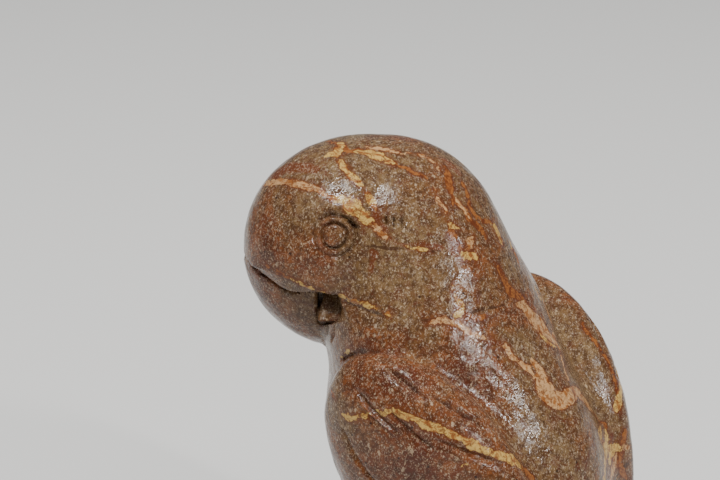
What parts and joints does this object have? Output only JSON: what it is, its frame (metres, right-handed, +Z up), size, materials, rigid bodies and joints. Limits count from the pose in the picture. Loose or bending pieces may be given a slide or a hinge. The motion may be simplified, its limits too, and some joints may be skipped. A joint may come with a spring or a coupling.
{
  "type": "stone parrot sculpture",
  "caption": "Small polished stone carving of a perched parrot with its head turned and bowed, folded wings and a low oval base.",
  "frame": {"origin": "centre of the oval base's flat underside", "axes": "+Z up, the bird's front is -Y and its left wing is on +X; the head is turned to its left"},
  "size_m": [0.0941, 0.1219, 0.1677],
  "materials": {
    "stone": "polished red-brown marble with pale grains and cream to orange veins"
  },
  "bodies": {
    "root": {"parrot_carving": "stone"}
  },
  "joints": []
}
